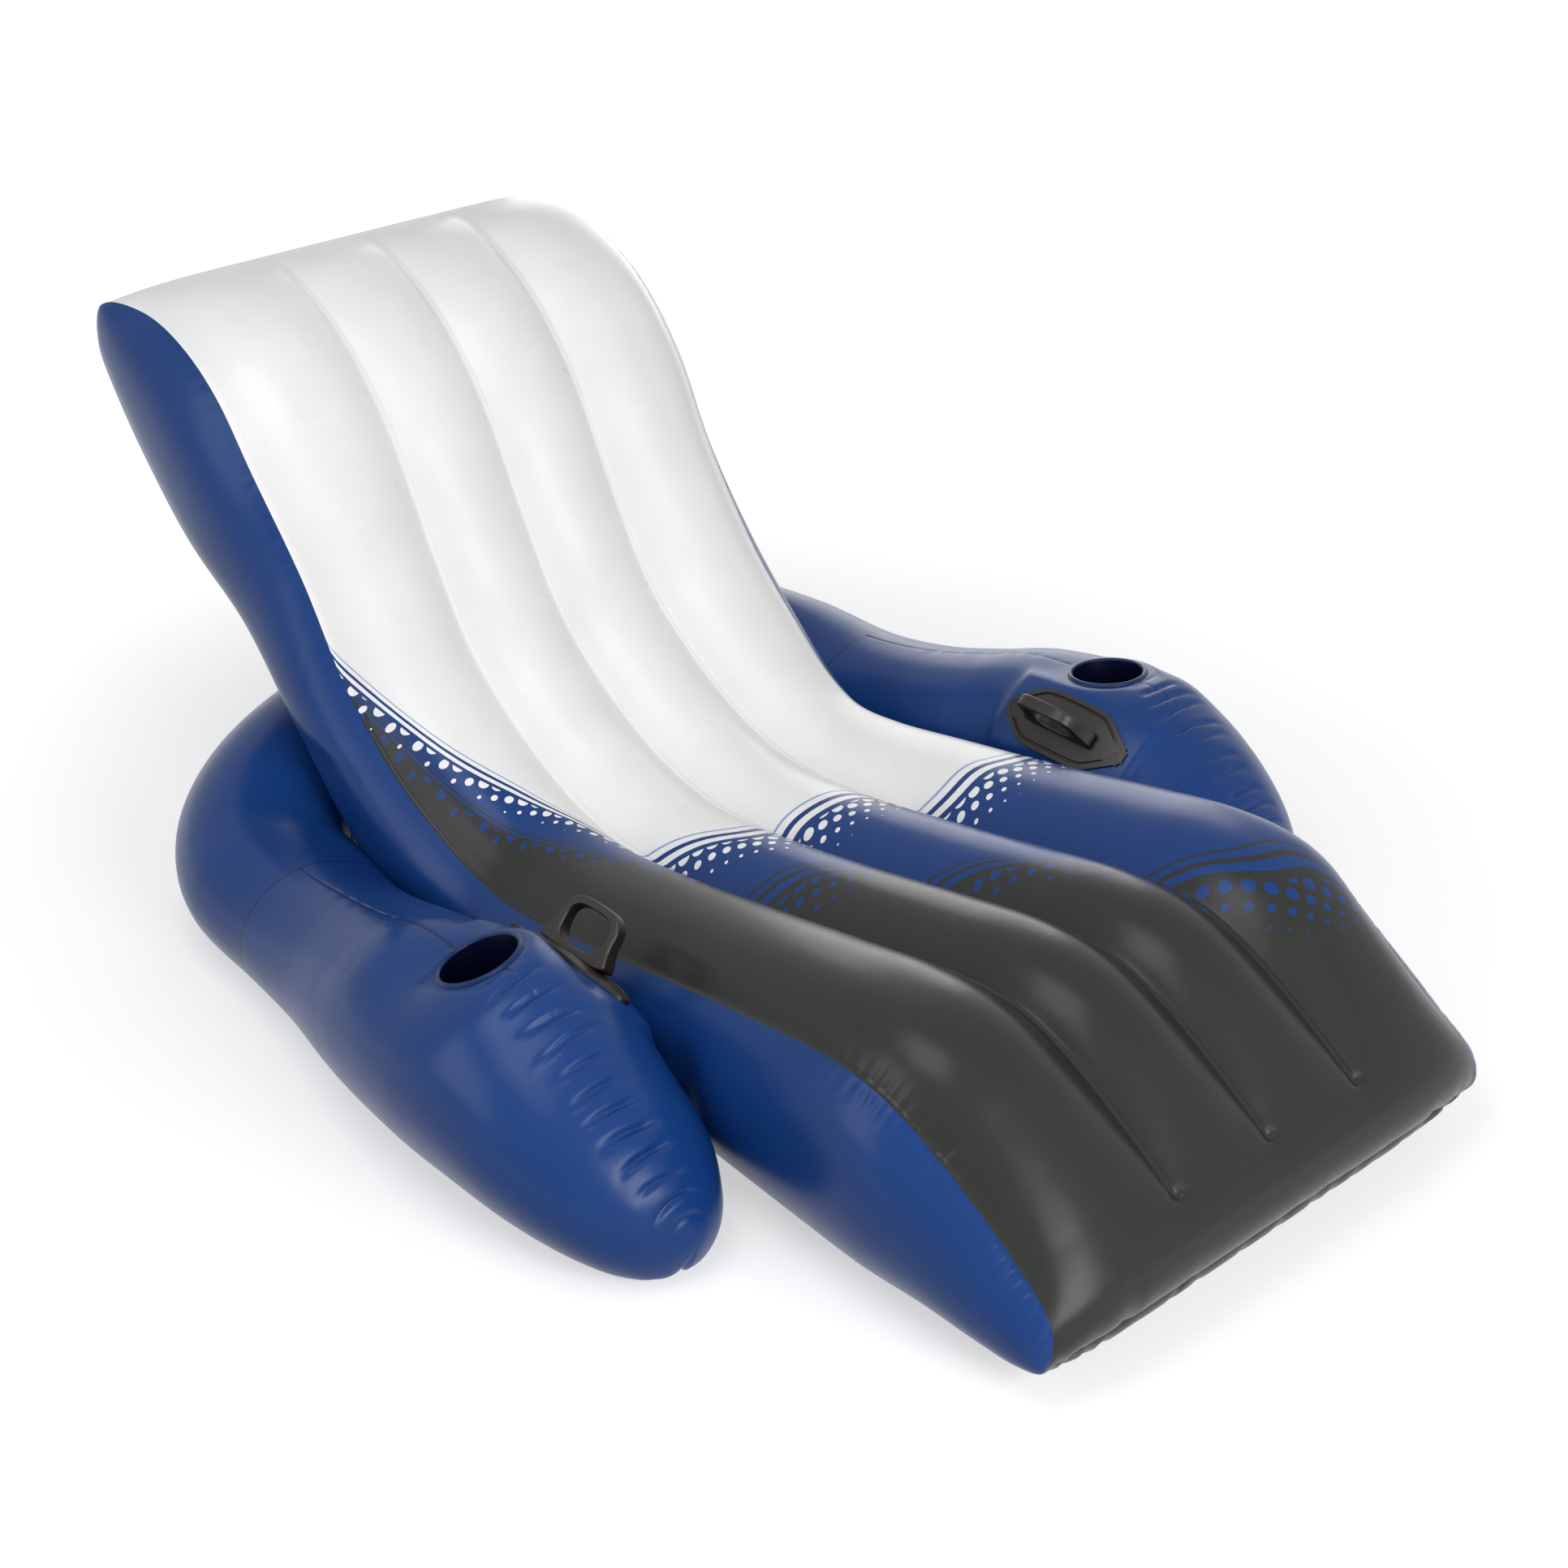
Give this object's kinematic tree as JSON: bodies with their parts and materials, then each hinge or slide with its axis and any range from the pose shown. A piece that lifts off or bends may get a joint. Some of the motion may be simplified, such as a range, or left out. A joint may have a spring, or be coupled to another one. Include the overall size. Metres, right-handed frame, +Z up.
{
  "type": "inflatable pool lounge chair",
  "caption": "Inflatable reclining pool chair: a channelled lounge cradled by a U-shaped air tube with armrests, cup wells, grab handles and valves.",
  "frame": {"origin": "middle of the footprint, at the level of the floor or water contact", "axes": "+Z up; -Y towards the foot end, +Y towards the head end; +X to the sitter's left"},
  "size_m": [1.3066, 1.8066, 0.7648],
  "materials": {
    "arm_inner_left": "satin",
    "arm_inner_right": "satin",
    "arm_outer_left": "satin",
    "arm_outer_right": "satin",
    "back_valve_flange": "satin",
    "back_valve_flap": "satin",
    "back_valve_plug": "satin",
    "back_valve_stem": "satin",
    "baffle_left": "satin",
    "baffle_middle": "satin",
    "baffle_right": "satin",
    "crescent_lower_panel": "satin",
    "crescent_upper_panel": "satin",
    "cup_floor_left": "satin",
    "cup_floor_right": "satin",
    "cup_wall_left": "satin",
    "cup_wall_right": "satin",
    "grab_handle_left": "satin",
    "grab_handle_right": "satin",
    "gusset_left": "satin",
    "gusset_right": "satin",
    "join_patch_left": "satin",
    "join_patch_right": "satin",
    "lounge_top_panel": "satin",
    "lounge_under_panel": "satin",
    "ring_valve_flange": "satin",
    "ring_valve_flap": "satin",
    "ring_valve_plug": "satin",
    "ring_valve_stem": "satin"
  },
  "bodies": {
    "chair": {"arm_inner_left": "arm_inner_left", "arm_inner_right": "arm_inner_right", "arm_outer_left": "arm_outer_left", "arm_outer_right": "arm_outer_right", "back_valve_flange": "back_valve_flange", "baffle_left": "baffle_left", "baffle_middle": "baffle_middle", "baffle_right": "baffle_right", "crescent_lower_panel": "crescent_lower_panel", "crescent_upper_panel": "crescent_upper_panel", "cup_floor_left": "cup_floor_left", "cup_floor_right": "cup_floor_right", "cup_wall_left": "cup_wall_left", "cup_wall_right": "cup_wall_right", "grab_handle_left": "grab_handle_left", "grab_handle_right": "grab_handle_right", "gusset_left": "gusset_left", "gusset_right": "gusset_right", "join_patch_left": "join_patch_left", "join_patch_right": "join_patch_right", "lounge_top_panel": "lounge_top_panel", "lounge_under_panel": "lounge_under_panel", "ring_valve_flange": "ring_valve_flange"},
    "back_stem": {"back_valve_stem": "back_valve_stem", "back_valve_flap": "back_valve_flap"},
    "back_plug": {"back_valve_plug": "back_valve_plug"},
    "ring_stem": {"ring_valve_stem": "ring_valve_stem", "ring_valve_flap": "ring_valve_flap"},
    "ring_plug": {"ring_valve_plug": "ring_valve_plug"}
  },
  "joints": [
    {"name": "back_stem_slide", "type": "slide", "parent": "chair", "child": "back_stem", "axis": [-0.2085, 0.6439, -0.7361], "range_m": [0, 0.011]},
    {"name": "back_plug_slide", "type": "slide", "parent": "back_stem", "child": "back_plug", "axis": [-0.2085, 0.6439, -0.7361], "range_m": [0, 0.011]},
    {"name": "ring_stem_slide", "type": "slide", "parent": "chair", "child": "ring_stem", "axis": [0.05, 0.8558, 0.5149], "range_m": [0, 0.011]},
    {"name": "ring_plug_slide", "type": "slide", "parent": "ring_stem", "child": "ring_plug", "axis": [0.05, 0.8558, 0.5149], "range_m": [0, 0.011]}
  ]
}
